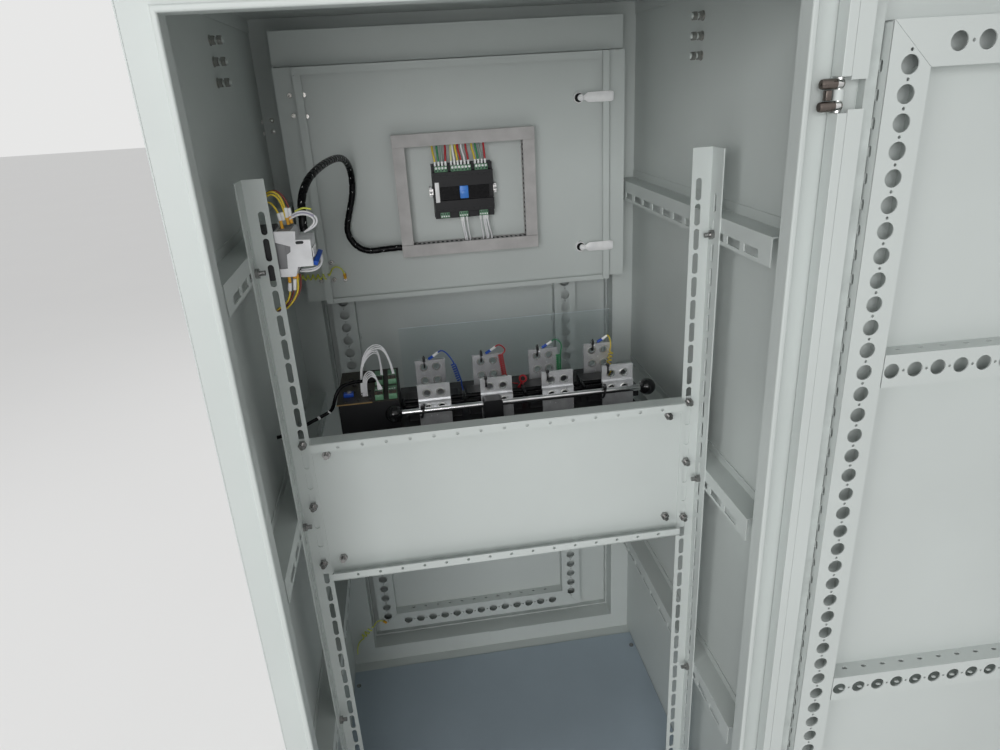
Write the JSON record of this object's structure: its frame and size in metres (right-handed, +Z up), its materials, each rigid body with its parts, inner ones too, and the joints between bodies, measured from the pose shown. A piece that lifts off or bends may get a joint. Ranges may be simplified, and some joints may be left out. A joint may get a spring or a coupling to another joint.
{
  "type": "generator control panel",
  "caption": "Floor-standing sheet-steel generator control cabinet with front, rear and instrument doors, a changeover switch, controller, ducts and wiring.",
  "frame": {"origin": "centre of the four floor-bolt holes, on the floor", "axes": "+X to the right seen from the rear door, +Y from the rear into the cabinet, +Z up"},
  "size_m": [1.5914, 0.9097, 1.7],
  "materials": {
    "cabinet_paint": "light grey powder coat",
    "zinc_steel": "zinc plated",
    "hinge_steel": "dark plated",
    "chrome": "polished",
    "gasket_foam": "pale grey foam",
    "black_plastic": "satin",
    "black_gloss": "gloss",
    "white_plastic": "satin",
    "blue_plastic": "satin",
    "green_plastic": "satin",
    "duct_plastic": "grey-brown matt",
    "lug_metal": "tin plated",
    "board": "circuit board",
    "clear_plastic": "clear",
    "loom_sleeve": "spiral wrap"
  },
  "bodies": {
    "cabinet": {"side_panel_right": "cabinet_paint", "side_panel_left": "cabinet_paint", "roof_panel": "cabinet_paint", "rear_frame": "cabinet_paint", "front_frame": "cabinet_paint", "base_frame": "cabinet_paint", "gland_plate": "cabinet_paint", "upright_right": "cabinet_paint", "upright_left": "cabinet_paint", "mounting_plate": "cabinet_paint", "depth_rail_upper_right": "cabinet_paint", "depth_rail_upper_left": "cabinet_paint", "depth_rail_middle_right": "cabinet_paint", "depth_rail_middle_left": "cabinet_paint", "depth_rail_lower_right": "cabinet_paint", "depth_rail_lower_left": "cabinet_paint", "instrument_frame": "cabinet_paint", "cabinet_fasteners": "zinc_steel", "switch_base": "zinc_steel", "module_rail": "zinc_steel", "instrument_hinge_frame_leaves": "zinc_steel", "rear_hinge_post_leaves": "hinge_steel", "front_hinge_post_leaves": "hinge_steel", "rear_hinge_pins": "chrome", "front_hinge_pins": "chrome", "switch_body": "black_plastic", "switch_drive": "black_plastic", "drive_board": "board", "near_terminals": "lug_metal", "far_terminals": "lug_metal", "handle_hub": "black_plastic", "handle_rod": "chrome", "handle_knobs": "black_gloss", "clear_shield": "clear_plastic", "power_module": "white_plastic", "module_plug": "blue_plastic", "wiring_loom": "loom_sleeve"},
    "rear_door": {"rear_door_panel": "cabinet_paint", "rear_door_frame": "cabinet_paint", "rear_door_gasket": "gasket_foam", "rear_door_hinge_leaves": "hinge_steel", "rear_door_latch_sleeves": "chrome"},
    "rear_upper_latch": {"rear_door_upper_cam": "zinc_steel"},
    "rear_lower_latch": {"rear_door_lower_cam": "zinc_steel"},
    "front_door": {"front_door_panel": "cabinet_paint", "front_door_frame": "cabinet_paint", "front_door_gasket": "gasket_foam", "front_door_hinge_leaves": "hinge_steel", "front_door_latch_sleeves": "chrome"},
    "front_upper_latch": {"front_door_upper_cam": "zinc_steel"},
    "front_lower_latch": {"front_door_lower_cam": "zinc_steel"},
    "instrument_door": {"instrument_door_panel": "cabinet_paint", "controller": "black_plastic", "controller_plugs": "green_plastic", "controller_clamps": "zinc_steel", "wiring_ducts": "duct_plastic", "instrument_hinge_door_leaves": "zinc_steel", "instrument_latch_sleeves": "black_plastic"},
    "instrument_upper_latch": {"instrument_upper_cam": "zinc_steel"},
    "instrument_lower_latch": {"instrument_lower_cam": "zinc_steel"}
  },
  "joints": [
    {"name": "rear_door_hinge", "type": "hinge", "parent": "cabinet", "child": "rear_door", "pos_m": [0.395, -0.415, 0.85], "axis": [0, 0, 1], "range_deg": [-178, 0]},
    {"name": "front_door_hinge", "type": "hinge", "parent": "cabinet", "child": "front_door", "pos_m": [-0.395, 0.415, 0.85], "axis": [0, 0, 1], "range_deg": [0, 178]},
    {"name": "instrument_door_hinge", "type": "hinge", "parent": "cabinet", "child": "instrument_door", "pos_m": [-0.314, 0.303, 1.368], "axis": [0, 0, 1], "range_deg": [0, 89]},
    {"name": "rear_upper_latch_turn", "type": "hinge", "parent": "rear_door", "child": "rear_upper_latch", "pos_m": [1.09492, -0.42944, 1.35], "axis": [-0.0349, -0.9994, 0], "range_deg": [-90, 0]},
    {"name": "front_upper_latch_turn", "type": "hinge", "parent": "front_door", "child": "front_upper_latch", "pos_m": [0.305, 0.425, 1.35], "axis": [0, -1, 0], "range_deg": [-90, 0]},
    {"name": "rear_lower_latch_turn", "type": "hinge", "parent": "rear_door", "child": "rear_lower_latch", "pos_m": [1.09492, -0.42944, 0.65], "axis": [-0.0349, -0.9994, 0], "range_deg": [-90, 0]},
    {"name": "front_lower_latch_turn", "type": "hinge", "parent": "front_door", "child": "front_lower_latch", "pos_m": [0.305, 0.425, 0.65], "axis": [0, -1, 0], "range_deg": [-90, 0]},
    {"name": "instrument_upper_latch_turn", "type": "hinge", "parent": "instrument_door", "child": "instrument_upper_latch", "pos_m": [0.255, 0.297, 1.518], "axis": [0, 1, 0], "range_deg": [0, 90]},
    {"name": "instrument_lower_latch_turn", "type": "hinge", "parent": "instrument_door", "child": "instrument_lower_latch", "pos_m": [0.255, 0.297, 1.206], "axis": [0, 1, 0], "range_deg": [0, 90]}
  ],
  "couplings": [
    {"joint": "instrument_door_hinge", "follows": "front_door_hinge", "ratio": 0.5}
  ]
}
